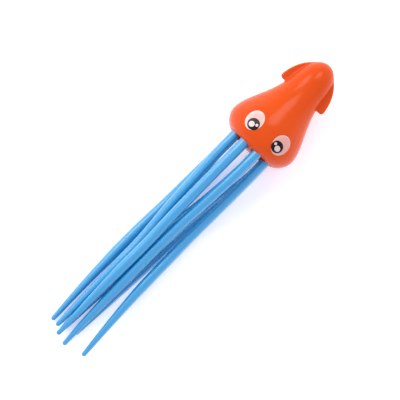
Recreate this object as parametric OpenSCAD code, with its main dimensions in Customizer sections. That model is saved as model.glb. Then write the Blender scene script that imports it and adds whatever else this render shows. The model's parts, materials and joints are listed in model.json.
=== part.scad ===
// Squid dive toy, lying on its back with its soft arms trailing behind it.
// +X runs from the arm tips to the nose, +Z is up, and z = 0 is the surface it lies on.
// Every section of the head is an ellipse across the X axis. "s" is the distance from
// the rim towards the nose, and "d" is the distance from the rim along an arm.

/* [Head] */
// Length of the head from its rim to its nose
head_len = 59.5; // [55:0.5:66]
// Half width of the head at its widest
head_half_w = 20.9; // [20:0.1:23]
// Half depth of the head at its deepest
head_half_d = 18; // [17:0.1:20]
// Radius of the rim, where the base is let in
rim_r = 15.2; // [15.2:0.1:16]
// Distance from the rim to the widest section
widest_s = 9.5; // [8:0.5:12]
// Distance from the rim to the section where the nose starts to round
nose_s = 44; // [42:1:46]
// Half width where the nose starts to round
nose_half_w = 10.2; // [9.5:0.1:11]
// Half depth where the nose starts to round
nose_half_d = 9.2; // [9:0.1:10]
// Wall thickness of the two shells
wall = 1.8; // [1.4:0.1:2.2]

/* [Fins] */
// Half span of the two fins
fin_half_span = 15.2; // [14:0.1:17]
// Distance from the rim to the straight trailing edge of the fins
fin_s = 37.9; // [36:0.1:40]
// Distance from the rim to where the curved leading edge would close
fin_end_s = 57.7; // [56:0.1:58]
// Thickness of the fin plate, half of it in each shell
fin_t = 2.8; // [2:0.1:4]

/* [Base] */
// Radius of the base plate
base_r = 14.6; // [14.5:0.1:14.6]
// Thickness of the base plate at its edge
base_t = 2.5; // [2:0.1:3]
// How far the base plate bulges out at its middle
base_bulge = 2; // [1:0.1:3]
// Radius of the circle of arm holes
ring_r = 11.3; // [11.2:0.1:11.4]
// Radius of an arm hole
hole_r = 2.95; // [2.9:0.05:3]

/* [Arms] */
// Radius of an arm at its root
arm_root_r = 2.7; // [2.5:0.05:2.7]
// Radius of an arm at its tip
arm_tip_r = 1.2; // [1:0.05:1.4]
// Length over which an arm tapers to its tip
taper_len = 50; // [40:5:60]
// Sides of an arm's section
arm_sides = 12; // [8:2:16]

/* [Eyes] */
// Distance from the rim to the middle of an eye
eye_s = 10.8; // [9:0.1:12]
// Distance of an eye from the centre line
eye_y = 9.1; // [8.5:0.1:10]
// Shift of both prints off the centre line: above 0 to the left, below 0 to the right
print_off = -1.1; // [-1.5:0.1:1.5]
// Half length of the eye white along the head
white_a = 5.6; // [5:0.1:6]
// Half width of the eye white
white_b = 4.4; // [4:0.1:5]
// Radius of a pupil
pupil_r = 3.15; // [2.5:0.05:3.4]
// Thickness of each printed layer
print_t = 0.15; // [0.1:0.05:0.2]

/* [Weight] */
// Radius of the steel sink weight
weight_r = 6.5; // [5:0.5:6.5]
// Length of the steel sink weight
weight_len = 20; // [14:1:20]

/* [Hidden] */
$fn = 48;

ORANGE = [0.98, 0.33, 0.05];
BLUE = [0.33, 0.7, 0.93];
rim_x = 41.8;                        // the rim's place along X
mid_z = head_half_d;                 // the head's centre line, its back on the surface
gap = 0.1;                           // clearance between pieces that touch
rim_power = 1.6;                     // how the skirt rounds out from the rim
end_slope = 0.35;                    // how fast the flank still narrows at the nose
waist = 1.5;                         // how far the flank's middle is drawn in
section_steps = 36;                  // steps round a half section

// ---- the head's outline ----

// Share of the way from the nose's start to the widest section, as a smooth flank
function flank(t) =
    2 * t^3 - 3 * t^2 + 1 - end_slope * (t^3 - t^2) - waist * t^2 * (1 - t)^2;
// Half size of a section, for a rim size, a largest size and a size at the nose's start
function half_size(s, biggest, at_nose) =
    s <= widest_s ? rim_r + (biggest - rim_r) * (1 - pow(1 - s / widest_s, rim_power)) :
    s <= nose_s ? at_nose + (biggest - at_nose) * flank((s - widest_s) / (nose_s - widest_s)) :
    at_nose * sqrt(max(0, 1 - pow((s - nose_s) / (head_len - nose_s), 2)));
function half_w(s) = half_size(s, head_half_w, nose_half_w);
function half_d(s) = half_size(s, head_half_d, nose_half_d);
// Half span of the fins, an ellipse that runs into the nose
fin_mid_s = fin_s - 1.9;
function fin_half(s) =
    s < fin_s || s >= fin_end_s ? 0 :
    fin_half_span * sqrt(1 - pow((s - fin_mid_s) / (fin_end_s - fin_mid_s), 2));
// Height of the head's upper surface over a point
function skin_z(s, y) = mid_z + half_d(s) * sqrt(max(0, 1 - pow(y / half_w(s), 2)));

// ---- the two shells ----

// Stations from the rim to the nose: close together on the skirt and the nose, and
// doubled at the fins' trailing edge, where the section steps out
shell_s = concat([for (i = [0:7]) widest_s * pow(i / 8, 1.3)],
                 [for (i = [0:9]) widest_s + i * (fin_s - widest_s) / 10],
                 [fin_s - 0.01, fin_s],
                 [for (i = [1:7]) fin_s + i * (nose_s + 6 - fin_s) / 8],
                 [for (a = [24:7:80]) nose_s + (head_len - nose_s) * sin(a)],
                 [head_len - 0.05]);
// Inside, the nose stops one wall short, and the rim is bored for the base plate
bore_r = base_r + 0.05;
function inner_s(s) = s * (head_len - wall) / head_len;
function inner_w(s) = max(s < widest_s ? bore_r : 0.4, half_w(s) - wall);
function inner_d(s) = max(s < widest_s ? bore_r : 0.4, half_d(s) - wall);

// How far out the skin is at an angle: the ellipse, or the fin plate where that is further
function out_r(s, a) =
    let (w = half_w(s), d = half_d(s), f = fin_half(s),
         oval = 1 / sqrt(pow(cos(a) / w, 2) + pow(sin(a) / d, 2)),
         plate = f == 0 ? 0 :
                 min(f / max(0.001, abs(cos(a))), fin_t / 2 / max(0.001, abs(sin(a)))))
    max(oval, plate);
// Angles crowd towards both fins so that the plate keeps its edge
function crowd(t) = 90 * (t < 0.5 ? pow(2 * t, 1.7) : 2 - pow(2 - 2 * t, 1.7));
section_angles = [for (i = [0:section_steps]) crowd(i / section_steps)];

function place(s, y, z) = [rim_x + s, y, z];
// One closed half shell: side is 1 for the front, which faces up, and -1 for the back
module half_shell(side) {
    rows = len(shell_s);
    cols = section_steps + 1;
    outer = [for (s = shell_s) for (a = section_angles)
             let (r = out_r(s, a)) place(s, r * cos(a), mid_z + side * r * sin(a))];
    inner = [for (s = shell_s) for (a = section_angles)
             place(inner_s(s), inner_w(s) * cos(a), mid_z + side * inner_d(s) * sin(a))];
    n = rows * cols;
    last = rows - 1;
    poles = [place(head_len, 0, mid_z), place(inner_s(head_len), 0, mid_z)];
    function at(i, j) = i * cols + j;
    faces = concat(
        [for (i = [0:rows - 2]) for (j = [0:cols - 2]) for (f = [
            [at(i, j), at(i + 1, j), at(i + 1, j + 1)],
            [at(i, j), at(i + 1, j + 1), at(i, j + 1)],
            [n + at(i, j), n + at(i + 1, j + 1), n + at(i + 1, j)],
            [n + at(i, j), n + at(i, j + 1), n + at(i + 1, j + 1)]]) f],
        [for (i = [0:rows - 2]) for (e = [0, cols - 1])
            let (q = [at(i, e), n + at(i, e), n + at(i + 1, e), at(i + 1, e)])
            for (f = [[q[0], q[1], q[2]], [q[0], q[2], q[3]]])
            e == 0 ? f : [f[2], f[1], f[0]]],
        [for (e = [0, cols - 1])
            let (q = [at(last, e), n + at(last, e), 2 * n + 1, 2 * n])
            for (f = [[q[0], q[1], q[2]], [q[0], q[2], q[3]]])
            e == 0 ? f : [f[2], f[1], f[0]]],
        [for (j = [0:cols - 2]) for (f = [
            [at(0, j), at(0, j + 1), n + at(0, j + 1)],
            [at(0, j), n + at(0, j + 1), n + at(0, j)],
            [at(last, j), 2 * n, at(last, j + 1)],
            [n + at(last, j), n + at(last, j + 1), 2 * n + 1]]) f]);
    polyhedron(concat(outer, inner, poles), side > 0 ? faces : flipped(faces), convexity = 6);
}
function flipped(faces) = [for (f = faces) [f[2], f[1], f[0]]];

module head_front() { color(ORANGE) half_shell(1); }
module head_back() { color(ORANGE) half_shell(-1); }

// ---- base, hub and weight ----

// The domed side of the base plate is an arc through its edge and its middle
dome_r = (base_r * base_r + base_bulge * base_bulge) / (2 * base_bulge);
function dome_h(r) = sqrt(dome_r * dome_r - r * r) - dome_r + base_bulge;
function ring_angle(i) = 22.5 + 45 * i;
module at_holes(x) {
    for (i = [0:7]) translate([rim_x + x, ring_r * cos(ring_angle(i)), mid_z + ring_r * sin(ring_angle(i))])
        rotate([0, 90, 0]) children();
}
// Turns a shape that stands on +Z so that it points at the nose, on the head's centre line
module on_axis(x) { translate([rim_x + x, 0, mid_z]) rotate([0, 90, 0]) children(); }

module base_plate() {
    color(ORANGE * 0.8) difference() {
        on_axis(0) rotate_extrude() polygon(concat(
            [[0, base_t], [0, -base_bulge]],
            [for (i = [1:8]) [base_r * i / 8, -dome_h(base_r * i / 8)]],
            [[base_r, base_t]]));
        at_holes(-base_bulge - 1) cylinder(r = hole_r, h = base_bulge + base_t + 2);
    }
}

hub_t = 2.5;
spigot_len = 1.2;
module arm_hub() {
    color(BLUE) union() {
        on_axis(base_t + gap) cylinder(r = base_r - 0.2, h = hub_t);
        at_holes(base_t + gap - spigot_len) cylinder(r = arm_root_r, h = spigot_len + 0.5);
    }
}

// The steel slug sits in a cup. Its mouth faces the hub, which closes it, and a flange at
// each end stops it rocking between the shells.
cage_s = base_t + hub_t + 2 * gap;
cage_wall = 1.4;
flange_t = 1.5;
module weight_cage() {
    tube_r = weight_r + gap + cage_wall;
    end_s = cage_s + weight_len + flange_t;
    color("linen") difference() {
        union() {
            on_axis(cage_s) cylinder(r = bore_r - 0.2, h = flange_t);
            on_axis(cage_s) cylinder(r = tube_r, h = weight_len + flange_t);
            on_axis(end_s - flange_t) cylinder(r = min(inner_d(end_s), inner_w(end_s)) - 0.5, h = flange_t);
        }
        on_axis(cage_s - 1) cylinder(r = weight_r + gap, h = weight_len + 1);
    }
}
module sink_weight() {
    color("silver") on_axis(cage_s + gap) cylinder(r = weight_r, h = weight_len - 2 * gap);
}

// ---- arms ----

// Each arm turns on a ball at its root, just outside the base
ball_s = -(dome_h(ring_r) + 0.8);
arm_d = [0, 10, 30, 50, 70, 90, 110, 128];
// For each arm: its length, then [across, height] where arm_d says and at its tip
ARMS = [
    [137, [[10.4, 22.3], [10.5, 21.5], [9.9, 17.5], [9.2, 13.5], [7.9, 10.6],
           [7.8, 8.9], [8.2, 7], [8.4, 5.3], [8.7, 4.6]]],
    [140, [[4.3, 28.4], [4.4, 27.6], [4.6, 24.5], [4.7, 20.5], [4.4, 16.8],
           [4.8, 13.9], [5, 10.4], [5, 6.8], [5.1, 4.8]]],
    [142, [[-4.3, 28.4], [-4.3, 27.4], [-3.1, 23.2], [-1.8, 18.6], [-1.1, 14.8],
           [-0.9, 11.8], [-0.7, 8.6], [-0.8, 5.4], [-1.2, 3.8]]],
    [139, [[-10.4, 22.3], [-10.5, 20.8], [-10.3, 16.5], [-9.9, 12.8], [-9.9, 10.3],
           [-10, 8.6], [-10.8, 7], [-11.9, 5.4], [-12.7, 4.4]]],
    [134, [[-10.4, 13.7], [-10.3, 12], [-8.3, 6.4], [-6.2, 3.4], [-5, 2.9],
           [-3.7, 2.7], [-2.8, 2.3], [-2, 1.8], [-1.5, 1.4]]],
    [136, [[-4.3, 7.6], [-4.2, 6.6], [-2.6, 3.8], [-0.2, 2.9], [1.6, 2.9],
           [2.3, 2.7], [3.7, 2.3], [4.4, 1.8], [4.8, 1.4]]],
    [134, [[4.3, 7.6], [4.5, 6.6], [5.8, 3.8], [6.3, 2.9], [7.3, 2.9],
           [7.8, 2.7], [8.5, 2.3], [8.7, 1.8], [8.7, 1.4]]],
    [137, [[10.4, 13.7], [10.7, 11.8], [11.4, 7.5], [12.1, 3.4], [13.1, 2.9],
           [13.4, 2.7], [13.3, 2.3], [12.8, 1.8], [12.3, 1.4]]]];

function root_of(i) = [ring_r * cos(ring_angle(i)), mid_z + ring_r * sin(ring_angle(i))];
function knots_x(i) = concat(arm_d, [ARMS[i][0]]);
function knot(i, k) = k == 0 ? root_of(i) : ARMS[i][1][k];
// Slope at a knot, level at the root so that the arm leaves square to the base
function slope(i, k) =
    let (x = knots_x(i), last = len(x) - 1)
    k == 0 ? [0, 0] :
    k == last ? (knot(i, k) - knot(i, k - 1)) / (x[k] - x[k - 1]) :
    (knot(i, k + 1) - knot(i, k - 1)) / (x[k + 1] - x[k - 1]);
function span_of(x, d, k = 0) = k >= len(x) - 2 || d <= x[k + 1] ? k : span_of(x, d, k + 1);
// A point on an arm's centre line, by cubic steps between its knots
function arm_point(i, d) =
    let (x = knots_x(i), k = span_of(x, d), h = x[k + 1] - x[k], t = (d - x[k]) / h,
         p = knot(i, k) * (2 * t^3 - 3 * t^2 + 1) + knot(i, k + 1) * (3 * t^2 - 2 * t^3)
             + slope(i, k) * h * (t^3 - 2 * t^2 + t) + slope(i, k + 1) * h * (t^3 - t^2))
    [rim_x + ball_s - d, p[0], p[1]];
function arm_r(left) = arm_tip_r + (arm_root_r - arm_tip_r) * pow(min(1, left / taper_len), 0.9);

module arm(i) {
    length = ARMS[i][0];
    tip_steps = [0.35, 0.6, 0.8, 0.95, 1];
    straight = 5;                    // the exact root, before the swept part takes over
    rings = concat([for (k = [0:22]) let (d = 3 + (length - arm_tip_r - 3) * k / 22)
                        [d, k == 0 ? arm_root_r - 0.08 : arm_r(length - d) - 0.02]],
                   [for (t = tip_steps) [length - arm_tip_r + arm_tip_r * t,
                                         (arm_r(arm_tip_r) - 0.02) * sqrt(1.02 - t * t)]]);
    points = [for (q = rings)
        let (c = arm_point(i, q[0]), b = arm_point(i, q[0] - 0.5), f = arm_point(i, min(length, q[0] + 0.5)),
             along = (f - b) / norm(f - b), up = cross(along, [0, 1, 0]) / norm(cross(along, [0, 1, 0])),
             side = cross(up, along))
        for (j = [0:arm_sides - 1])
            c + q[1] * (side * cos(360 * j / arm_sides) + up * sin(360 * j / arm_sides))];
    last = len(rings) - 1;
    faces = concat(
        [for (r = [0:last - 1]) for (j = [0:arm_sides - 1])
            let (a = r * arm_sides + j, b = r * arm_sides + (j + 1) % arm_sides)
            for (f = [[a, b + arm_sides, b], [a, a + arm_sides, b + arm_sides]]) f],
        [[for (j = [0:arm_sides - 1]) j]],
        [[for (j = [arm_sides - 1:-1:0]) last * arm_sides + j]]);
    c = root_of(i);
    color(BLUE) union() {
        translate([rim_x + ball_s, c[0], c[1]]) rotate([0, -90, 0]) {
            sphere(r = arm_root_r);
            cylinder(r = arm_root_r, h = straight);
        }
        polyhedron(points, faces, convexity = 4);
    }
}
module arm_1() { arm(0); }
module arm_2() { arm(1); }
module arm_3() { arm(2); }
module arm_4() { arm(3); }
module arm_5() { arm(4); }
module arm_6() { arm(5); }
module arm_7() { arm(6); }
module arm_8() { arm(7); }

// ---- printed eyes ----

// A thin oval that follows the head: layer 0 lies on the skin, and each next one on the last
module print_oval(s0, y0, a, b, layer, rings = 4, segs = 28) {
    low = 0.05 + layer * (print_t + 0.02);
    cells = [for (r = [1:rings]) for (j = [0:segs - 1])
             [s0 + a * r / rings * cos(360 * j / segs), y0 + b * r / rings * sin(360 * j / segs)]];
    flat = concat([[s0, y0]], cells);
    n = len(flat);
    points = concat([for (p = flat) place(p[0], p[1], skin_z(p[0], p[1]) + low + print_t)],
                    [for (p = flat) place(p[0], p[1], skin_z(p[0], p[1]) + low)]);
    function at(r, j) = r == 0 ? 0 : 1 + (r - 1) * segs + j % segs;
    top = concat(
        [for (j = [0:segs - 1]) [0, at(1, j + 1), at(1, j)]],
        [for (r = [1:rings - 1]) for (j = [0:segs - 1]) for (f = [
            [at(r, j), at(r, j + 1), at(r + 1, j + 1)],
            [at(r, j), at(r + 1, j + 1), at(r + 1, j)]]) f]);
    edge = [for (j = [0:segs - 1]) for (f = [
            [at(rings, j), at(rings, j + 1), n + at(rings, j + 1)],
            [at(rings, j), n + at(rings, j + 1), n + at(rings, j)]]) f];
    under = [for (f = top) [n + f[2], n + f[1], n + f[0]]];
    polyhedron(points, concat(top, edge, under), convexity = 4);
}
pupil_back = 1.9;                    // how far the pupils sit towards the rim
pupil_in = 0.8;                      // and towards the centre line
module eye_white(side) { color("mistyrose") print_oval(eye_s, side * eye_y + print_off, white_a, white_b, 0); }
module pupil(side) {
    color([0.1, 0.05, 0.05])
        print_oval(eye_s - pupil_back, side * (eye_y - pupil_in) + print_off, pupil_r, pupil_r, 1);
}
// Each pupil has a large glint out towards the rim and a small one in towards the nose
glint_r = 1.5;
small_glint_r = 0.75;
module eye_glints(side) {
    s = eye_s - pupil_back;
    y = side * (eye_y - pupil_in) + print_off;
    color("white") {
        print_oval(s - 0.6, y + side * 0.75, glint_r, glint_r, 2, 2, 20);
        print_oval(s + 0.6, y - side * 1.65, small_glint_r, small_glint_r, 2, 2, 16);
    }
}
module left_eye_white() { eye_white(1); }
module right_eye_white() { eye_white(-1); }
module left_pupil() { pupil(1); }
module right_pupil() { pupil(-1); }
module left_eye_glints() { eye_glints(1); }
module right_eye_glints() { eye_glints(-1); }

head_front();
head_back();
base_plate();
arm_hub();
weight_cage();
sink_weight();
arm_1();
arm_2();
arm_3();
arm_4();
arm_5();
arm_6();
arm_7();
arm_8();
left_eye_white();
right_eye_white();
left_pupil();
right_pupil();
left_eye_glints();
right_eye_glints();
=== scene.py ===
# %% [markdown]
# # A squid dive toy
# A pool toy that sinks and stands on its weighted head: a hollow, glossy plastic head with two
# fins and two printed eyes, and eight soft tapered arms that come out of holes in its underside.
# The toy lies on its back with the arms trailing behind it.
#
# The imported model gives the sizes, the places and the joints, and this script gives the looks.
# Everything is in metres in the model's own frame. Shapes of the head are worked out in
# millimetres, with s running from the rim to the nose, y across and z up from the centre line.

# %% Load the frame
import json
import math

import bmesh
import bpy
import numpy as np
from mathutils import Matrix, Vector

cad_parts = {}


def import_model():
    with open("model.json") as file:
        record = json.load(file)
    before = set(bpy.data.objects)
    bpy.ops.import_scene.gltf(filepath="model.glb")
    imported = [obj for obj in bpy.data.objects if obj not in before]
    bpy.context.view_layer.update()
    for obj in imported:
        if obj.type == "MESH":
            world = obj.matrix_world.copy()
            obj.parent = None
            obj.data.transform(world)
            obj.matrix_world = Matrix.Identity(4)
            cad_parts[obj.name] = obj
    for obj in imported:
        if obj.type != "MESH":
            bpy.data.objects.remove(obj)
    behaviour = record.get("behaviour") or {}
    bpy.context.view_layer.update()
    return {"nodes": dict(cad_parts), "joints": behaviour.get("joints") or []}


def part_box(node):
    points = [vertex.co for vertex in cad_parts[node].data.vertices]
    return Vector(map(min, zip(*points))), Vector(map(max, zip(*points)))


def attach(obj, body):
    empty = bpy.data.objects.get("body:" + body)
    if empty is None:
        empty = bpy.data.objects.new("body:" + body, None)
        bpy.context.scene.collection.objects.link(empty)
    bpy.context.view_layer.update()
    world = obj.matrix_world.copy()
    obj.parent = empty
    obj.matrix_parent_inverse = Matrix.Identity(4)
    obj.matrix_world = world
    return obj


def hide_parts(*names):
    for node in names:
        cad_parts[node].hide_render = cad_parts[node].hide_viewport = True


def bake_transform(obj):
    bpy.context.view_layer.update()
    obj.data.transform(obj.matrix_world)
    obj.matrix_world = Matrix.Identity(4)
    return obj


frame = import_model()
MM = 0.001
scene = bpy.context.scene
arm_joints = {joint["child"]: joint for joint in frame["joints"]}
print(len(frame["nodes"]), "nodes,", len(arm_joints), "arms on joints")

# %% [markdown]
# ## Camera
# A short telephoto lens looks straight down from over the roots of the arms. The camera is
# turned so that the nose points to the upper right.

# %% Camera
rim_x, mid_z = (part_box("head_front")[0][axis] for axis in (0, 2))
camera_height = 0.6
camera_back = 37.5 * MM              # from the rim towards the arms
camera_turn = -46                    # degrees about the vertical

camera_data = bpy.data.cameras.new("camera")
camera_data.sensor_width = 36
camera_data.lens = 100.7
camera = bpy.data.objects.new("camera", camera_data)
camera.location = (rim_x - camera_back, 0, camera_height)
camera.rotation_euler = (0, 0, math.radians(camera_turn))
scene.collection.objects.link(camera)
scene.camera = camera
print("camera over x =", round(camera.location.x / MM, 1), "mm")

# %% [markdown]
# ## Helpers for materials and meshes
# Colours are written as sRGB hex values, as a paint or dye chart gives them, and one function
# turns them to the linear values that shaders work in. One function adds any node with its
# settings and links. A few more do what every finish here needs: patches of noise, a blend of
# two colours, a range of roughness and fine bumps. So a material reads as a short recipe.


# %% Colour, node and mesh helpers
def linear(hex_colour):
    """The linear colour that an sRGB hex value stands for."""
    parts = [int(hex_colour[i:i + 2], 16) / 255 for i in (1, 3, 5)]
    return (*(c / 12.92 if c <= 0.04045 else ((c + 0.055) / 1.055) ** 2.4 for c in parts), 1)


def add(tree, kind, settings=None, links=None):
    """Adds a node. A setting is a property of the node, or an input socket's own value."""
    node = tree.nodes.new(kind)
    for name, value in (settings or {}).items():
        if isinstance(name, str) and hasattr(node, name):
            setattr(node, name, value)
        else:
            node.inputs[name].default_value = value
    for name, source in (links or {}).items():
        tree.links.new(source, node.inputs[name])
    return node


def per_size(size_mm):
    """A texture's scale, so that its features are about this many millimetres across."""
    return 1 / (size_mm * MM)


def start_material(name, surface):
    """A material with a Principled shader set as surface says, and its object coordinates."""
    material = bpy.data.materials.new(name)
    material.use_nodes = True
    tree = material.node_tree
    shader = tree.nodes["Principled BSDF"]
    for socket, value in surface.items():
        shader.inputs[socket].default_value = value
    place = add(tree, "ShaderNodeTexCoord").outputs["Object"]
    return material, tree, shader, place


def link_up(tree, shader, sources):
    """Links outputs to the shader's sockets, each named."""
    for socket, source in sources.items():
        tree.links.new(source, shader.inputs[socket])


def blend_of(tree, low, high, share):
    """A colour that runs from low to high with the share, which is an output."""
    mixed = add(tree, "ShaderNodeMix", {
        "data_type": "RGBA", 6: linear(low), 7: linear(high)}, {0: share})
    return mixed.outputs[2]


def between(tree, low, high, value):
    """A number that runs from low to high as an output goes from 0 to 1."""
    mapped = add(tree, "ShaderNodeMapRange", {"To Min": low, "To Max": high}, {"Value": value})
    return mapped.outputs["Result"]


def noise(tree, place, size_mm, detail):
    """A noise output with patches about this many millimetres across."""
    made = add(tree, "ShaderNodeTexNoise", {"Scale": per_size(size_mm), "Detail": detail},
               {"Vector": place})
    return made.outputs["Fac"]


def bumps(tree, height, strength, depth_mm):
    """A normal output that makes a height look this deep."""
    made = add(tree, "ShaderNodeBump", {"Strength": strength, "Distance": depth_mm * MM},
               {"Height": height})
    return made.outputs["Normal"]


def new_object(name, points, faces, material=None):
    """A mesh object whose points are given in metres, at their place."""
    mesh = bpy.data.meshes.new(name)
    mesh.from_pydata([tuple(p) for p in points], [], [tuple(f) for f in faces])
    mesh.update()
    if material:
        mesh.materials.append(material)
    made = bpy.data.objects.new(name, mesh)
    scene.collection.objects.link(made)
    return made


def with_modifiers(made):
    """Turns what an object's modifiers make into its plain mesh."""
    graph = bpy.context.evaluated_depsgraph_get()
    mesh = bpy.data.meshes.new_from_object(made.evaluated_get(graph))
    made.modifiers.clear()
    made.data = mesh
    mesh.name = made.name


def read_points(mesh):
    """A mesh's points as an array."""
    points = np.zeros(len(mesh.vertices) * 3)
    mesh.vertices.foreach_get("co", points)
    return points.reshape(-1, 3)


def write_points(mesh, points):
    """Moves a mesh's points to where an array says."""
    mesh.vertices.foreach_set("co", np.asarray(points, np.float32).ravel())
    mesh.update()


# %% [markdown]
# ## The plastic of the head
# The head is injection-moulded ABS, coloured all through, with a polished mould's gloss. Close
# to, such a surface isn't perfectly flat: it has a faint orange peel, a little unevenness of
# gloss, and the pigment is a touch uneven. A small amount of light goes into the plastic and
# comes out again, which softens the shading, so the shader gets a thin subsurface layer.


# %% Glossy orange ABS
def orange_abs():
    """Moulded ABS: a deep, even orange with crisp highlights, softened by a fine orange peel."""
    material, tree, shader, place = start_material("moulded_abs_orange", {
        "IOR": 1.5, "Specular IOR Level": 0.24, "Subsurface Weight": 0.15,
        "Subsurface Radius": (1.0, 0.25, 0.05), "Subsurface Scale": 1.0 * MM})
    pigment = noise(tree, place, 14, 2)
    gloss = noise(tree, place, 5, 3)
    peel = noise(tree, place, 1.1, 1)
    link_up(tree, shader, {
        "Base Color": blend_of(tree, "#D94702", "#DF5103", pigment),
        "Roughness": between(tree, 0.16, 0.21, gloss),
        "Normal": bumps(tree, peel, strength=0.12, depth_mm=0.02)})
    return material


head_plastic = orange_abs()
print("made", head_plastic.name)

# %% [markdown]
# ## The outline of the head
# A solid can be described by a rule instead of by its faces: a function that gives, for any
# point, how far outside the solid it is, less where it is inside. Two such solids are joined by
# taking the smaller distance, and cut by taking the larger. Rounding that choice over a few
# tenths of a millimetre gives a fillet or a soft edge, just as a mould maker's cutter would.
#
# The head is an oval body that swells out from the rim, narrows down its flank and ends in a
# round nose, and a thin fin plate that runs across it just under the nose.

# %% Sizes of the head
head_len = (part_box("head_front")[1].x - rim_x) / MM
half_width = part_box("head_front")[1].y / MM
half_depth = (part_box("head_front")[1].z - mid_z) / MM
rim_r = 15.2                         # radius of the rim
widest_s = 9.5                       # where the skirt is widest
nose_s = 44                          # where the nose starts to round
nose_half = (10.2, 9.2)              # half width and half depth there
end_slope = 0.35                     # how fast the flank still narrows there
waist = 1.5                          # how far the flank's middle is drawn in
wall = 1.8                           # thickness of the plastic
fin_s, fin_end_s = 37.9, 57.7        # the fins' trailing edge, and where they would close
fin_mid_s = fin_s - 1.9              # the middle of the ellipse that they are half of
fin_half_span = 15.2
fin_t = 2.8
print(f"head {head_len:.1f} long, {2 * half_width:.1f} wide, {2 * half_depth:.1f} deep")


# %% The head as a rule
def smooth_max(a, b, k):
    """The larger of two distances, rounded over k where they are close."""
    near = np.maximum(k - np.abs(a - b), 0) / k
    return np.maximum(a, b) + near * near * k / 4


def half_size(s, biggest, at_nose):
    """Half size of the section at s: skirt, then flank, then the start of the nose."""
    flank_t = np.clip((s - widest_s) / (nose_s - widest_s), 0, 1)
    flank = 2 * flank_t ** 3 - 3 * flank_t ** 2 + 1 - end_slope * (flank_t ** 3 - flank_t ** 2)
    flank = flank - waist * flank_t ** 2 * (1 - flank_t) ** 2
    skirt = 1 - (1 - np.clip(s / widest_s, 0, 1)) ** 2
    nose_t = np.clip((s - nose_s) / (head_len - nose_s), 0, 1)
    lean = end_slope * (biggest - at_nose) * (head_len - nose_s) / (nose_s - widest_s)
    return np.where(s < widest_s, rim_r + (biggest - rim_r) * skirt,
                    at_nose + (biggest - at_nose) * flank - lean * nose_t * (1 - nose_t) ** 2)


def oval_distance(parts, sizes):
    """About how far a point lies outside an oval, from its parts along each half size."""
    share = np.sqrt(sum((p / r) ** 2 for p, r in zip(parts, sizes)))
    steepness = np.sqrt(sum((p / r ** 2) ** 2 for p, r in zip(parts, sizes)))
    return share * (share - 1) / np.maximum(steepness, 1e-9)


def body_distance(points):
    """The oval body: ovals that change with s up to nose_s, and half an ellipsoid past it."""
    s, y, z = points.T
    past_nose = np.maximum(0, s - nose_s)
    return oval_distance((past_nose, y, z), (
        head_len - nose_s,
        half_size(s, half_width, nose_half[0]),
        half_size(s, half_depth, nose_half[1])))


def fin_distance(points):
    """The fin plate: half an ellipse, cut off square at the back, with a fine bead at its edge."""
    s, y, z = points.T
    corner_k, edge_k = 2.2, 0.9
    bead_height, bead_in, bead_width = 0.22, 0.75, 0.4
    oval = oval_distance((s - fin_mid_s, y), (fin_end_s - fin_mid_s, fin_half_span))
    outline = smooth_max(oval, fin_s - s, corner_k)
    bead = bead_height * np.exp(-((outline + bead_in) / bead_width) ** 2)
    return smooth_max(outline, np.abs(z) - fin_t / 2 - bead, edge_k)


def head_distance(points):
    """The whole head: body and fins joined with a fillet, and a rounded rim."""
    fin_fillet, rim_round = 0.9, 3
    solid = -smooth_max(-body_distance(points), -fin_distance(points), fin_fillet)
    return smooth_max(solid, -points[:, 0], rim_round)


sample = np.array([[0, 0, 0], [widest_s, half_width, 0], [fin_s + 1, fin_half_span, 0]])
print("rule at the rim's middle, the widest point and a fin's edge:", head_distance(sample).round(2))

# %% [markdown]
# ## From a rule to a surface
# A rough closed form is lofted first, section by section. A voxel remesh then gives it even
# faces, and each point is walked down the rule's slope until it lies on the surface, with some
# smoothing in between so that the faces stay even. The points end up exactly on a smooth
# surface, which matters on gloss: any dent would show in the reflections.


# %% Loft, remesh and settle
def world(points):
    """Points in millimetres in the head's own terms, turned to metres in the frame."""
    return np.asarray(points) * MM + np.array([rim_x, 0, mid_z])


def local(points):
    """Points in the frame, turned to millimetres in the head's own terms."""
    return (points - np.array([rim_x, 0, mid_z])) / MM


def loft(name, stations, radius, sides=160):
    """A closed form with one ring of points for each station, capped at both ends."""
    angles = np.arange(sides) * 2 * math.pi / sides
    rings = [np.column_stack([np.full(sides, s), r * np.cos(angles), r * np.sin(angles)])
             for s in stations for r in [radius(s, angles)]]
    points = np.vstack([*rings, [[stations[0], 0, 0]], [[stations[-1], 0, 0]]])
    count, first, last = len(stations), len(points) - 2, len(points) - 1
    turn = [(j, (j + 1) % sides) for j in range(sides)]
    faces = [(i * sides + a, i * sides + b, (i + 1) * sides + b, (i + 1) * sides + a)
             for i in range(count - 1) for a, b in turn]
    faces += [(first, b, a) for a, b in turn]
    faces += [(last, (count - 1) * sides + a, (count - 1) * sides + b) for a, b in turn]
    return new_object(name, world(points), faces)


def slope_of(rule, points, step=0.01):
    """The rule's slope at each point, by small steps either way."""
    shifts = np.eye(3) * step
    return np.column_stack([(rule(points + d) - rule(points - d)) / (2 * step) for d in shifts])


def settle(made, rule, rounds=3, steps=3, longest=0.4):
    """Moves a mesh's points onto the surface where the rule is nought."""
    for _ in range(rounds):
        shape = bmesh.new()
        shape.from_mesh(made.data)
        bmesh.ops.smooth_vert(shape, verts=shape.verts, factor=0.5,
                              use_axis_x=True, use_axis_y=True, use_axis_z=True)
        shape.to_mesh(made.data)
        shape.free()
        points = local(read_points(made.data))
        for _ in range(steps):
            slope = slope_of(rule, points)
            move = -rule(points)[:, None] * slope / np.maximum((slope ** 2).sum(1), 1e-6)[:, None]
            length = np.linalg.norm(move, axis=1, keepdims=True)
            points += move * np.minimum(1, longest / np.maximum(length, 1e-9))
        write_points(made.data, world(points))
    return np.abs(rule(points)).max()


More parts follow.
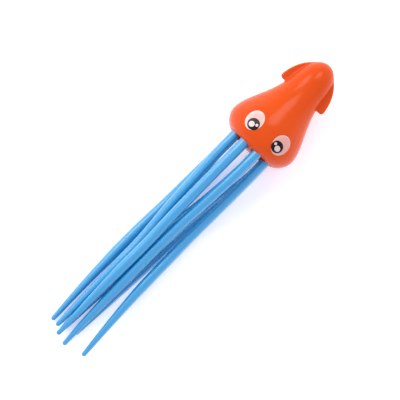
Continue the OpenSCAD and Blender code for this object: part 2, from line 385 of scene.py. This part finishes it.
def remesh(made, size_mm):
    """Gives a closed mesh even square faces of this size."""
    voxels = made.modifiers.new("even faces", "REMESH")
    voxels.mode = "VOXEL"
    voxels.voxel_size = size_mm * MM
    with_modifiers(made)


def oval_radius(s, angles, inset=0):
    """Radius of the oval body at s in each direction, less the inset."""
    w = half_size(s, half_width, nose_half[0]) - inset
    d = half_size(s, half_depth, nose_half[1]) - inset
    past = np.clip((s - nose_s) / (head_len - nose_s - inset), 0, 1)
    return np.sqrt(1 - past ** 2) / np.sqrt((np.cos(angles) / w) ** 2 + (np.sin(angles) / d) ** 2)


def rough_radius(s, angles):
    """The oval body, or the fin plate where that reaches further."""
    if not fin_s <= s < fin_end_s:
        return oval_radius(s, angles)
    span = fin_half_span * math.sqrt(1 - ((s - fin_mid_s) / (fin_end_s - fin_mid_s)) ** 2)
    plate = np.minimum(span / np.maximum(np.abs(np.cos(angles)), 1e-3),
                       fin_t / 2 / np.maximum(np.abs(np.sin(angles)), 1e-3))
    return np.maximum(oval_radius(s, angles), plate)


# %% [markdown]
# ## The head's two shells
# The real head is two moulded shells welded round a parting line that runs through the fins.
# The settled solid is hollowed with the cavity, cut in two at the parting plane, and the edge
# of each cut is drawn in by a tenth of a millimetre: two such edges make the hairline groove
# that every welded toy shows.

# %% Head solid
face_size = 0.4
end_step = 0.05                      # the last station stands this far short of the end


def stations_to(end, step, end_part, end_count):
    """Stations from the rim to an end, closer and closer together over the end part."""
    return np.concatenate([np.arange(0, end - end_part, step),
                           end - np.geomspace(end_part, end_step, end_count)])


head = loft("head", stations_to(head_len, 0.4, 3, 12), rough_radius)
remesh(head, face_size)
off_by = settle(head, head_distance)
print(f"head surface: {len(head.data.polygons)} faces, off the rule by {off_by:.4f} mm at most")

# %% Cavity
base_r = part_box("base_plate")[1].y / MM
bore_r = base_r + 0.05
bore_end_s = 5.5                     # how far in the bore for the base plate reaches


def cavity_radius(s, angles):
    """Inside the wall, and no narrower than the bore that takes the base plate."""
    bore = bore_r if s < bore_end_s else 0
    return np.maximum(oval_radius(max(s, 0), angles, wall), bore)


cavity = loft("cavity", [-1, *stations_to(head_len - wall, 0.8, 2, 8)], cavity_radius, sides=96)
hollow = head.modifiers.new("hollow", "BOOLEAN")
hollow.operation, hollow.solver, hollow.object = "DIFFERENCE", "EXACT", cavity
with_modifiers(head)
bpy.data.objects.remove(cavity)
print("hollow head:", len(head.data.polygons), "faces")


# %% Cut the shells apart
def mark_sharp(mesh, angle=40):
    """Smooth shading, except across edges that turn by more than this many degrees."""
    shape = bmesh.new()
    shape.from_mesh(mesh)
    for face in shape.faces:
        face.smooth = True
    for edge in shape.edges:
        edge.smooth = len(edge.link_faces) == 2 and edge.calc_face_angle(0) < math.radians(angle)
    shape.to_mesh(mesh)
    shape.free()


def half_shell(name, side, groove=0.1, half_gap=0.01, on_skin=0.05):
    """The part of the head on one side of the parting plane, closed along its weld face."""
    shape = bmesh.new()
    shape.from_mesh(head.data)
    geometry = [*shape.verts, *shape.edges, *shape.faces]
    plane = mid_z + side * half_gap * MM
    cut = bmesh.ops.bisect_plane(shape, geom=geometry, dist=1e-7, plane_co=(0, 0, plane),
                                 plane_no=(0, 0, side), clear_inner=True)["geom_cut"]
    rim = [v for v in cut if isinstance(v, bmesh.types.BMVert)]
    points = local(np.array([v.co for v in rim]))
    outside = np.abs(head_distance(points)) < on_skin
    inward = slope_of(head_distance, points)
    inward /= np.linalg.norm(inward, axis=1, keepdims=True)
    moved = world(points - inward * groove)
    for vert, is_outside, place in zip(rim, outside, moved):
        if is_outside:
            vert.co.xy = place[:2]
    edges = [e for e in shape.edges if e.is_boundary]
    bmesh.ops.triangle_fill(shape, edges=edges, use_beauty=True, normal=(0, 0, -side))
    mesh = bpy.data.meshes.new(name)
    shape.to_mesh(mesh)
    shape.free()
    mesh.materials.append(head_plastic)
    mark_sharp(mesh)
    shell = bpy.data.objects.new(name, mesh)
    scene.collection.objects.link(shell)
    return shell


for name, side in (("head_front", 1), ("head_back", -1)):
    shell = half_shell(name + "_shell", side)
    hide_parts(name)
    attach(shell, "head")
    print(shell.name, len(shell.data.polygons), "faces")
bpy.data.objects.remove(head)

# %% [markdown]
# ## The base plate
# A domed disc closes the head from below, with a ring of eight holes for the arms. It is the
# same moulding material. The disc is a short loft, Geometry Nodes put eight cutters round it
# and take them away, and the same remesh and settle steps round every edge softly.

# %% Sizes of the base
base_low, base_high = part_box("base_plate")
base_bulge = (rim_x - base_low.x) / MM
base_t = (base_high.x - rim_x) / MM
dome_r = (base_r ** 2 + base_bulge ** 2) / (2 * base_bulge)
hole_r = 2.95
base_face_size = 0.3
roots = [local(np.array(joint["pos_m"])) for joint in arm_joints.values()]
ring_r = float(np.hypot(roots[0][1], roots[0][2]))
print(f"base {2 * base_r:.1f} across, bulging {base_bulge:.1f}, holes on a ring of radius {ring_r:.1f}")


# %% The base as a rule
def base_distance(points):
    """A domed disc with round holes, and a soft edge of its own size on each."""
    s, y, z = points.T
    inner_edge, outer_edge, hole_edge = 0.4, 2, 0.8
    across = np.hypot(y, z)
    dome = np.hypot(s - dome_r + base_bulge, across) - dome_r
    disc = smooth_max(smooth_max(dome, s - base_t, inner_edge), across - base_r, outer_edge)
    holes = hole_r - np.min([np.hypot(y - root[1], z - root[2]) for root in roots], axis=0)
    return smooth_max(disc, holes, hole_edge)


# %% Start and finish of a node tree
def start_tree(name, inputs):
    """A geometry tree with a geometry input, these inputs with their kinds, and one output."""
    tree = bpy.data.node_groups.new(name, "GeometryNodeTree")
    for socket, kind in {"Geometry": "Geometry", **inputs}.items():
        tree.interface.new_socket(socket, in_out="INPUT", socket_type="NodeSocket" + kind)
    tree.interface.new_socket("Geometry", in_out="OUTPUT", socket_type="NodeSocketGeometry")
    return tree, add(tree, "NodeGroupInput").outputs


def finish_tree(tree, geometry, material):
    """Makes the geometry real, gives it the material and sends it out."""
    whole = add(tree, "GeometryNodeRealizeInstances", {}, {"Geometry": geometry})
    finish = add(tree, "GeometryNodeSetMaterial", {}, {
        "Geometry": whole.outputs["Geometry"], "Material": material})
    add(tree, "NodeGroupOutput", {}, {"Geometry": finish.outputs["Geometry"]})


# %% A node tree that drills a ring of holes
def ring_of_holes(cutter_sides=48):
    """Stands a cylinder at each corner of a regular polygon and takes them all away."""
    tree, given = start_tree("ring_of_holes", {
        "Count": "Int", "Ring radius": "Float", "Hole radius": "Float", "Depth": "Float",
        "Centre": "Vector", "Material": "Material"})
    half_step = add(tree, "ShaderNodeMath", {"operation": "DIVIDE", 0: math.pi}, {1: given["Count"]})
    turn = add(tree, "ShaderNodeCombineXYZ", {"Y": math.pi / 2}, {"X": half_step.outputs[0]})
    circle = add(tree, "GeometryNodeMeshCircle", {}, {
        "Vertices": given["Count"], "Radius": given["Ring radius"]})
    placed = add(tree, "GeometryNodeTransform", {}, {
        "Geometry": circle.outputs["Mesh"], "Translation": given["Centre"], "Rotation": turn.outputs[0]})
    cutter = add(tree, "GeometryNodeMeshCylinder", {"Vertices": cutter_sides}, {
        "Radius": given["Hole radius"], "Depth": given["Depth"]})
    copies = add(tree, "GeometryNodeInstanceOnPoints", {"Rotation": (0, math.pi / 2, 0)}, {
        "Points": placed.outputs["Geometry"], "Instance": cutter.outputs["Mesh"]})
    real = add(tree, "GeometryNodeRealizeInstances", {}, {"Geometry": copies.outputs["Instances"]})
    drilled = add(tree, "GeometryNodeMeshBoolean", {"operation": "DIFFERENCE"}, {
        "Mesh 1": given["Geometry"], "Mesh 2": real.outputs["Geometry"]})
    finish_tree(tree, drilled.outputs["Mesh"], given["Material"])
    return tree


def run_tree(made, tree, values):
    """Runs a node tree on an object with these inputs, and keeps the result as its mesh."""
    modifier = made.modifiers.new(tree.name, "NODES")
    modifier.node_group = tree
    for item in tree.interface.items_tree:
        if item.in_out == "INPUT" and item.name in values:
            modifier[item.identifier] = values[item.name]
    with_modifiers(made)


# %% Make the base plate
def disc_radius(s, angles):
    """Radius of the plain domed disc at s."""
    if s >= 0:
        return np.full_like(angles, base_r)
    return np.full_like(angles, math.sqrt(max(0, dome_r ** 2 - (dome_r - base_bulge - s) ** 2)))


first_step, disc_step = 0.2, 0.3
dome_stations = np.arange(-base_bulge + first_step, 0, disc_step)
disc_stations = [-base_bulge + end_step, *dome_stations, 0, base_t]
base = loft("base_plate_disc", disc_stations, disc_radius, sides=144)
run_tree(base, ring_of_holes(), {
    "Count": len(roots), "Ring radius": ring_r * MM, "Hole radius": hole_r * MM,
    "Depth": 4 * base_t * MM, "Centre": (rim_x, 0, mid_z), "Material": head_plastic})
remesh(base, base_face_size)
off_by = settle(base, base_distance)
base.data.materials.clear()
base.data.materials.append(head_plastic)
mark_sharp(base.data)
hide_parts("base_plate")
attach(base, "head")
print(f"base plate: {len(base.data.polygons)} faces, off the rule by {off_by:.4f} mm at most")

# %% [markdown]
# ## The rubber of the arms
# The arms are moulded from a soft thermoplastic rubber. It has a satin skin rather than a
# gloss, lets some light into itself, and its flow in the long thin mould leaves faint streaks
# along the arm.


# %% Satin blue thermoplastic rubber
def blue_rubber(stretch=0.06):
    """Moulded TPR: light blue with a long soft sheen, and streaks drawn out along the arm."""
    material, tree, shader, place = start_material("moulded_tpr_blue", {
        "IOR": 1.5, "Specular IOR Level": 0.9, "Coat Weight": 0.8, "Coat Roughness": 0.14,
        "Subsurface Weight": 0.1, "Subsurface Radius": (0.1, 0.6, 1.0),
        "Subsurface Scale": 0.5 * MM})
    along = add(tree, "ShaderNodeMapping", {"Scale": (stretch, 1, 1)}, {"Vector": place})
    streaks = noise(tree, along.outputs["Vector"], 1.2, 2)
    grain = noise(tree, place, 0.7, 3)
    link_up(tree, shader, {
        "Base Color": blend_of(tree, "#1494D0", "#1E9ED8", streaks),
        "Roughness": between(tree, 0.36, 0.44, grain),
        "Normal": bumps(tree, grain, strength=0.25, depth_mm=0.03)})
    return material


arm_rubber = blue_rubber()
print("made", arm_rubber.name)

# %% [markdown]
# ## The eight arms
# Each arm is a tapered round section swept along a path, with a rounded tip and the faint
# flash line that a two-part mould leaves on both sides. The path is read from the rings of the
# arm's solid in the frame, so that the arms cross each other just as they do there. Geometry
# Nodes do the sweep: the same tree makes all eight, with the radii as inputs.


# %% Read an arm's path
def arm_path(node, swept_from=8, ring_gap=1.5, tip_part=2, lead=3):
    """Centres of the arm's sections in metres, from its root to its tip."""
    ball = np.array(arm_joints[node]["pos_m"])
    root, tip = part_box(node)[1].x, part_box(node)[0].x
    points = np.unique(read_points(frame["nodes"][node].data).round(6), axis=0)
    points = points[(points[:, 0] < ball[0] - swept_from * MM) & (points[:, 0] > tip + tip_part * MM)]
    points = points[np.argsort(-points[:, 0])]
    rings = np.split(points, np.where(-np.diff(points[:, 0]) > ring_gap * MM)[0] + 1)
    centres = [ring.mean(0) for ring in rings]
    last_step = centres[-1] - centres[-2]
    end = centres[-1] + last_step * (centres[-1][0] - tip) / -last_step[0]
    start = [ball + np.array([x, 0, 0]) for x in (root - ball[0], 0, -lead * MM)]
    return np.array([*start, *centres, end])


def through(knots, spacing=0.8, tip_spacing=0.15, tip_part=2.0):
    """A smooth curve through the knots as many points, closer together near its end."""
    x = knots[:, 0]
    slopes = np.gradient(knots, x, axis=0)
    length = (x[0] - x[-1]) / MM
    down = np.concatenate([np.arange(0, length - tip_part, spacing),
                           np.arange(length - tip_part, length, tip_spacing), [length]])
    made = []
    for at in x[0] - down * MM:
        k = min(max(np.searchsorted(-x, -at) - 1, 0), len(x) - 2)
        step = x[k + 1] - x[k]
        t = (at - x[k]) / step
        between_knots = knots[k] * (2 * t ** 3 - 3 * t ** 2 + 1) + knots[k + 1] * (3 * t ** 2 - 2 * t ** 3)
        leaving = slopes[k] * step * (t ** 3 - 2 * t ** 2 + t)
        arriving = slopes[k + 1] * step * (t ** 3 - t ** 2)
        made.append(between_knots + leaving + arriving)
    return np.array(made)


paths = {node: through(arm_path(node)) for node in sorted(arm_joints)}
for node, path in paths.items():
    path_length = np.linalg.norm(np.diff(path, axis=0), axis=1).sum() / MM
    print(f"{node}: {len(path)} points, {path_length:.1f} mm")


# %% A node tree that sweeps an arm
def sweep_tree(taper_power=0.9, at_side=0.995, least=0.0004):
    """Sweeps a circle along a line: full size, then a taper, then half a ball at the tip.

    The circle's points past at_side are swelled into the flash line, and least is what keeps the
    last ring from closing to nothing.
    """
    tree, given = start_tree("tapered_arm", {
        "Root radius": "Float", "Tip radius": "Float", "Taper length": "Float",
        "Sides": "Int", "Flash": "Float", "Material": "Material"})

    def maths(operation, a, b=0.0, c=0.0):
        """One math node on numbers or sockets."""
        sockets = {i: v for i, v in enumerate((a, b, c)) if isinstance(v, bpy.types.NodeSocket)}
        values = {i: v for i, v in enumerate((a, b, c)) if i not in sockets}
        return add(tree, "ShaderNodeMath", {"operation": operation, **values}, sockets).outputs[0]

    line = add(tree, "GeometryNodeMeshToCurve", {}, {"Mesh": given["Geometry"]})
    upright = add(tree, "GeometryNodeSetCurveNormal", {"mode": "Z_UP"}, {"Curve": line.outputs["Curve"]})
    length = add(tree, "GeometryNodeSplineLength").outputs["Length"]
    gone = add(tree, "GeometryNodeSplineParameter").outputs["Length"]
    left = maths("SUBTRACT", length, gone)
    share = maths("MINIMUM", maths("DIVIDE", left, given["Taper length"]), 1.0)
    spare = maths("SUBTRACT", given["Root radius"], given["Tip radius"])
    taper = maths("MULTIPLY_ADD", spare, maths("POWER", share, taper_power), given["Tip radius"])
    off_end = maths("SUBTRACT", 1.0, maths("MINIMUM", maths("DIVIDE", left, given["Tip radius"]), 1.0))
    inside = maths("SUBTRACT", 1.0, maths("MULTIPLY", off_end, off_end))
    tip_round = maths("SQRT", maths("MAXIMUM", inside, least))
    sized = add(tree, "GeometryNodeSetCurveRadius", {}, {
        "Curve": upright.outputs["Curve"], "Radius": maths("MULTIPLY", taper, tip_round)})
    circle = add(tree, "GeometryNodeCurvePrimitiveCircle", {"Radius": 1.0}, {"Resolution": given["Sides"]})
    at = add(tree, "GeometryNodeInputPosition").outputs["Position"]
    sideways = maths("ABSOLUTE", add(tree, "ShaderNodeSeparateXYZ", {}, {0: at}).outputs["X"])
    on_line = maths("GREATER_THAN", sideways, at_side)
    swell = maths("MULTIPLY_ADD", on_line, given["Flash"], 1.0)
    flashed = add(tree, "ShaderNodeVectorMath", {"operation": "SCALE"}, {0: at, "Scale": swell})
    section = add(tree, "GeometryNodeSetPosition", {}, {
        "Geometry": circle.outputs["Curve"], "Position": flashed.outputs[0]})
    radius = add(tree, "GeometryNodeInputRadius").outputs[0]
    swept = add(tree, "GeometryNodeCurveToMesh", {"Fill Caps": True}, {
        "Curve": sized.outputs["Curve"], "Profile Curve": section.outputs["Geometry"], "Scale": radius})
    smooth = add(tree, "GeometryNodeSetShadeSmooth", {}, {"Geometry": swept.outputs["Mesh"]})
    finish_tree(tree, smooth.outputs["Geometry"], given["Material"])
    return tree


# %% Sweep the arms
arm_sweep = sweep_tree()
arm_root_r, arm_tip_r, taper_len = 2.7, 1.2, 50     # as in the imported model
arm_sides = 28
flash = 0.025                        # height of the flash line, as a share of the radius

for node, path in paths.items():
    arm = new_object(node + "_rubber", path, [])
    arm.data.edges.add(len(path) - 1)
    arm.data.edges.foreach_set("vertices", [i for k in range(len(path) - 1) for i in (k, k + 1)])
    run_tree(arm, arm_sweep, {
        "Root radius": arm_root_r * MM, "Tip radius": arm_tip_r * MM, "Taper length": taper_len * MM,
        "Sides": arm_sides, "Flash": flash, "Material": arm_rubber})
    mark_sharp(arm.data, angle=50)
    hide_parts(node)
    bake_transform(arm)
    print(arm.name, len(arm.data.polygons), "faces")

# %% [markdown]
# ## The printed eyes
# The eyes are pad printed: a soft silicone pad carries each colour onto the curved plastic, and
# the inks lie on it as thin glossy films, one over another. Each film is a thin disc that
# follows the head's skin, a little thicker than real ink so that it shows at its edge.
#
# The inks carry painted light: their colour is painted paler towards the lit left side, so the
# left eye is lighter and the right one pinker. Each film is also painted paler at its edge, a
# painted highlight. So an ink is a mix of a deeper and a paler colour that leans from side to side.


# %% Ink materials
# thin is the deeper colour, and full the paler one that the painted edge highlight and the painted light
# on the left lean to.
def ink(name, thin, full, roughness, lean=0.0, painted_light_span=10):
    """Pad ink, glossy as paint: a painted highlight at a film's edge, painted light towards the lit left.
    """
    material, tree, shader, place = start_material(name, {
        "IOR": 1.5, "Specular IOR Level": 0.25, "Roughness": roughness})
    # The edge share paints a highlight round each film's rim.
    edge = add(tree, "ShaderNodeAttribute", {"attribute_name": "edge"}).outputs["Fac"]
    uneven = between(tree, -0.15, 0.15, noise(tree, place, 0.8, 2))
    left = add(tree, "ShaderNodeSeparateXYZ", {}, {0: place}).outputs["Y"]
    painted_light_and_uneven = add(tree, "ShaderNodeMath", {"operation": "MULTIPLY_ADD", 1: lean / (painted_light_span * MM)},
                {0: left, 2: uneven})
    share = add(tree, "ShaderNodeMath", {"operation": "ADD", "use_clamp": True},
                {0: edge, 1: painted_light_and_uneven.outputs[0]})
    link_up(tree, shader, {"Base Color": blend_of(tree, thin, full, share.outputs[0])})
    return material


# The lean paints the left eye's inks paler than the right's: painted light from the key light on that
# side.
white_ink = ink("pad_ink_white", "#DFA49A", "#E4D2CE", 0.3, lean=0.4)
black_ink = ink("pad_ink_black", "#0B0708", "#2A1B19", 0.25)
glint_ink = ink("pad_ink_bright_white", "#DDC0BE", "#F4E6E4", 0.3, lean=0.4)
print("made", white_ink.name, black_ink.name, glint_ink.name)


# %% A printed film on the skin
def skin_height(s, y):
    """Height of the head's front skin above its centre line."""
    w, d = half_size(s, half_width, nose_half[0]), half_size(s, half_depth, nose_half[1])
    return d * np.sqrt(np.maximum(0, 1 - (y / w) ** 2))


def film(centre_s, centre_y, half_s, half_y, low, rings=16, sides=96):
    """Points, faces and edge shares of one oval film whose underside is low above the skin."""
    thick, under, edge_power = 0.12, 0.03, 12
    share = np.concatenate([[0], np.repeat(np.arange(1, rings + 1) / rings, sides)])
    angle = np.concatenate([[0], np.tile(np.arange(sides) * 2 * math.pi / sides, rings)])
    s = centre_s + half_s * share * np.cos(angle)
    y = centre_y + half_y * share * np.sin(angle)
    top = skin_height(s, y) + low + under + (thick - under) * np.sqrt(1 - share ** edge_power)
    bottom = skin_height(s, y) + low
    points = np.vstack([np.column_stack([s, y, top]), np.column_stack([s, y, bottom])])
    count = len(share)
    turn = [(j + 1, (j + 1) % sides + 1) for j in range(sides)]
    disc = [(0, a, b) for a, b in turn]
    disc += [(r * sides + a, (r + 1) * sides + a, (r + 1) * sides + b, r * sides + b)
             for r in range(rings - 1) for a, b in turn]
    last = (rings - 1) * sides
    faces = disc + [tuple(count + i for i in reversed(face)) for face in disc]
    faces += [(last + b, last + a, count + last + a, count + last + b) for a, b in turn]
    return points, faces, np.tile(share, 2)


def printed(node, films, material, edge_power=6):
    """One printed piece from one or more films, standing for its CAD node."""
    points, faces, shares = [], [], []
    for film_points, film_faces, film_shares in films:
        first = len(points)
        points += list(film_points)
        faces += [tuple(first + i for i in face) for face in film_faces]
        shares += list(film_shares)
    made = new_object(node + "_print", world(points), faces, material)
    # The edge share is what the inks use to paint a highlight round each film's rim.
    edge = made.data.attributes.new("edge", "FLOAT", "POINT")
    edge.data.foreach_set("value", np.array(shares, np.float32) ** edge_power)
    mark_sharp(made.data)
    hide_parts(node)
    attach(made, "head")
    print(made.name, len(faces), "faces")
    return made


# %% Print both eyes
def middle(node):
    """The middle of a node's box in the head's own terms."""
    low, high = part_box(node)
    return local(np.array([(a + b) / 2 for a, b in zip(low, high)]))[:2]


def half_span(node):
    """Half the size of a node's box along s and y."""
    low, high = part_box(node)
    return (high.x - low.x) / 2 / MM, (high.y - low.y) / 2 / MM


skin_gap = 0.03                      # from the skin to the underside of the first film
layer = 0.17                         # from the underside of one film to the next
glint_r, glint_at = 1.5, (-0.6, 0.75)
small_glint_r, small_glint_at = 0.75, (0.6, -1.65)
for side, out in (("left", 1), ("right", -1)):
    white_s, white_y = middle(side + "_eye_white")
    pupil_s, pupil_y = middle(side + "_pupil")
    white = printed(side + "_eye_white", [
        film(white_s, white_y, *half_span(side + "_eye_white"), skin_gap)], white_ink)
    pupil = printed(side + "_pupil", [
        film(pupil_s, pupil_y, *half_span(side + "_pupil"), skin_gap + layer)], black_ink)
    glints = printed(side + "_eye_glints", [
        film(pupil_s + at[0], pupil_y + out * at[1], r, r, skin_gap + 2 * layer)
        for r, at in ((glint_r, glint_at), (small_glint_r, small_glint_at))], glint_ink)

# %% [markdown]
# ## Inside the head
# A soft disc joins the arms' roots, and a steel slug sits in a cup so that the toy sinks head
# first. Their solids in the frame have the right shape, so they only get finishes: the arms'
# rubber, the milky look of uncoloured polypropylene, and turned steel with a thin bright zinc
# plating.


# %% Finishes for the inner parts
def natural_polypropylene():
    """Uncoloured polypropylene: milky, because light spreads a long way inside it."""
    material, tree, shader, place = start_material("moulded_polypropylene_natural", {
        "IOR": 1.49, "Subsurface Weight": 0.5, "Subsurface Radius": (1, 1, 1),
        "Subsurface Scale": 2 * MM})
    haze = noise(tree, place, 6, 3)
    link_up(tree, shader, {
        "Base Color": blend_of(tree, "#DAD6C8", "#E9E6DB", haze),
        "Roughness": between(tree, 0.4, 0.55, haze)})
    return material


def zinc_plated_steel(ring_step=0.6, waves_per_unit=20):
    """Turned steel: fine bright rings across the axis, drawn 0.6 mm apart so that they show."""
    material, tree, shader, place = start_material("turned_steel_zinc_plated", {"Metallic": 1.0})
    rings = add(tree, "ShaderNodeTexWave", {
        "bands_direction": "X", "Scale": per_size(ring_step) / waves_per_unit,
        "Distortion": 0.4, "Detail": 1}, {"Vector": place})
    spangle = noise(tree, place, 2, 3)
    link_up(tree, shader, {
        "Base Color": blend_of(tree, "#B9BDC2", "#D5D9DC", spangle),
        "Roughness": between(tree, 0.28, 0.4, spangle),
        "Normal": bumps(tree, rings.outputs["Fac"], strength=0.4, depth_mm=0.03)})
    return material


finishes = {
    "arm_hub": arm_rubber,
    "weight_cage": natural_polypropylene(),
    "sink_weight": zinc_plated_steel()}
for node, material in finishes.items():
    for slot in frame["nodes"][node].material_slots:
        slot.material = material
    print(node, "->", material.name)

# %% [markdown]
# ## Floor and light
# The floor is matt white card on a light table, which glows faintly and so keeps it white right
# up to the toy. The light is a photo studio's: a large soft box and a small one stand high
# beyond the nose, one to each side, and draw the highlights along the head and the arms. A pale
# tent all round fills the shadows, so that only faint lilac ones are left on the near side. The
# tent is brightest low down, which gives every rounded edge a thin pale line.


# %% Floor
def white_card():
    """Matt card: white, with fibres that only just show, and the light table's glow."""
    material, tree, shader, place = start_material("matt_white_card", {
        "Specular IOR Level": 0.2, "Emission Color": linear("#F8F3FF"), "Emission Strength": 0.35})
    fibre = noise(tree, place, 3, 4)
    link_up(tree, shader, {
        "Base Color": blend_of(tree, "#FBFBFB", "#FDFDFD", fibre),
        "Roughness": between(tree, 0.85, 0.95, fibre)})
    return material


floor_half = 3                       # metres, so that its edge is never seen
floor = new_object("floor", [(x, y, 0) for x, y in ((-1, -1), (1, -1), (1, 1), (-1, 1))],
                   [(0, 1, 2, 3)], white_card())
write_points(floor.data, read_points(floor.data) * floor_half)
print("floor", 2 * floor_half, "m across")


# %% Lights
def soft_box(name, place, aim, long_way, size, power, colour):
    """A rectangular light at a place, facing an aim point, with its long side the long way."""
    data = bpy.data.lights.new(name, "AREA")
    data.shape, data.size, data.size_y = "RECTANGLE", *size
    data.energy, data.color = power, linear(colour)[:3]
    made = bpy.data.objects.new(name, data)
    back = np.array(place) - np.array(aim)
    back /= np.linalg.norm(back)
    along = long_way - (long_way @ back) * back
    along /= np.linalg.norm(along)
    for column, axis in enumerate((along, np.cross(back, along), back)):
        for row in range(3):
            made.matrix_world[row][column] = axis[row]
    made.matrix_world.translation = place
    scene.collection.objects.link(made)


turn = math.radians(camera_turn)
to_right = np.array([math.cos(turn), math.sin(turn), 0])
to_top = np.array([-math.sin(turn), math.cos(turn), 0])
head_aim = np.array([rim_x + 20 * MM, 0, 0])        # under the thick part of the head
light_height = 0.9                   # metres


def light_place(right, top):
    """A place at the lights' height, right and top of the toy by these shares of that height."""
    return head_aim + light_height * (right * to_right + top * to_top + np.array([0, 0, 1]))


soft_box("key", light_place(-0.66, 0.78), head_aim, to_right, (1.2, 0.62), 8.4, "#FFFDF3")
soft_box("second", light_place(0.55, 0.75), head_aim, to_right, (0.42, 0.42), 1.9, "#FFFDF3")
print("soft boxes stand", light_height, "m above the floor")


def studio_room(wall_light=1.35, ceiling_light=0.79, wall_top=0.3, blend=0.12):
    """A tent of pale cloth, brighter low down, told apart by how steeply a ray goes up."""
    room = bpy.data.worlds.new("studio_room")
    room.use_nodes = True
    tree = room.node_tree
    way = add(tree, "ShaderNodeTexCoord").outputs["Generated"]
    height = add(tree, "ShaderNodeSeparateXYZ", {}, {0: way}).outputs["Z"]
    light = add(tree, "ShaderNodeMapRange", {
        "interpolation_type": "SMOOTHSTEP", "From Min": wall_top - blend, "From Max": wall_top + blend,
        "To Min": wall_light, "To Max": ceiling_light}, {"Value": height})
    sky = tree.nodes["Background"]
    sky.inputs["Color"].default_value = linear("#F6F5FF")
    tree.links.new(light.outputs["Result"], sky.inputs["Strength"])
    return room


scene.world = studio_room()
scene.view_settings.view_transform = "Standard"
